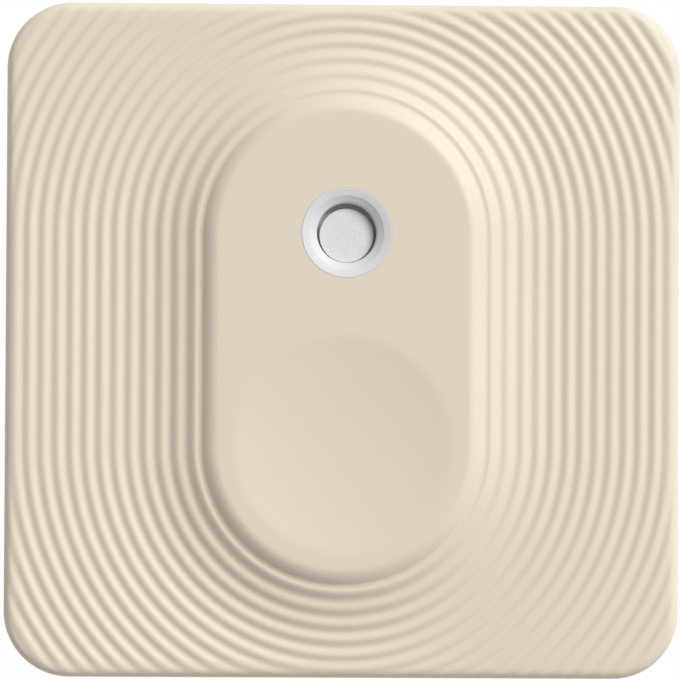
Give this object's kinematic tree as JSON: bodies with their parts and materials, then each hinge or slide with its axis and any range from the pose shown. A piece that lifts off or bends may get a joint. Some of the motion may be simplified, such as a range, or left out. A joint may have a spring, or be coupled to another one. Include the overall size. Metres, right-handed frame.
{
  "type": "temperature humidity sensor",
  "caption": "Square battery temperature and humidity sensor with a ridged shell, an air port and a press dish on a raised plateau, and a pull-off back.",
  "frame": {"origin": "middle of the back face, which the sensor lies on", "axes": "+Z out of the ridged face, +Y from the press dish towards the air port, +X to the right as the face is seen"},
  "size_m": [0.04, 0.04, 0.0163],
  "materials": {
    "cover_cream": "fine matte moulded texture",
    "port_white": "satin white",
    "filter_white": "sintered matte",
    "adhesive_clear": "tacky film",
    "boot_grey": "soft silicone",
    "seal_dark": "soft silicone",
    "board_green": "solder mask over glass fibre",
    "chip_black": "moulded epoxy",
    "crystal_steel": "plated can",
    "antenna_white": "fired ceramic",
    "capacitor_tan": "fired ceramic with tinned ends",
    "resistor_black": "glazed film with tinned ends",
    "coil_grey": "ferrite",
    "switch_black": "heat-resistant moulding",
    "switch_steel": "stamped sheet",
    "stem_brown": "moulded",
    "screw_steel": "zinc plated",
    "holder_black": "glass-filled nylon",
    "contact_nickel": "nickel-plated spring strip",
    "cell_steel": "drawn stainless",
    "grommet_black": "moulded",
    "pellet_black": "pressed powder",
    "separator_white": "non-woven",
    "anode_metal": "soft metal disc"
  },
  "bodies": {
    "base": {"back_cover": "cover_cream", "back_seal": "seal_dark"},
    "housing": {"front_cover": "cover_cream", "port_ring": "port_white", "vent_disc": "filter_white", "filter_seal": "adhesive_clear", "sensor_boot": "boot_grey", "circuit_board": "board_green", "sensor_chip": "chip_black", "radio_chip": "chip_black", "memory_chip": "chip_black", "main_crystal": "crystal_steel", "clock_crystal": "crystal_steel", "chip_antenna": "antenna_white", "capacitors": "capacitor_tan", "resistors": "resistor_black", "filter_coils": "coil_grey", "switch_base": "switch_black", "switch_dome": "switch_steel", "switch_frame": "switch_steel", "board_screws": "screw_steel", "cell_holder": "holder_black", "plus_contact": "contact_nickel", "minus_contact": "contact_nickel"},
    "cell": {"cell_can": "cell_steel", "cell_cap": "cell_steel", "cell_grommet": "grommet_black", "cell_cathode": "pellet_black", "cell_separator": "separator_white", "cell_anode": "anode_metal"},
    "button": {"press_pad": "cover_cream", "switch_stem": "stem_brown"}
  },
  "joints": [
    {"name": "housing_lift", "type": "slide", "parent": "base", "child": "housing", "axis": [0, 0, 1], "range_m": [0, 0.026]},
    {"name": "cell_lift", "type": "slide", "parent": "base", "child": "cell", "axis": [0, 0, 1], "range_m": [0, 0.013]},
    {"name": "button_press", "type": "slide", "parent": "housing", "child": "button", "axis": [0, 0, -1], "range_m": [0, 0.00025], "stiffness_N_per_m": 6000, "deforming": ["switch_dome"]}
  ],
  "couplings": [
    {"joint": "cell_lift", "follows": "housing_lift", "ratio": 0.5}
  ]
}
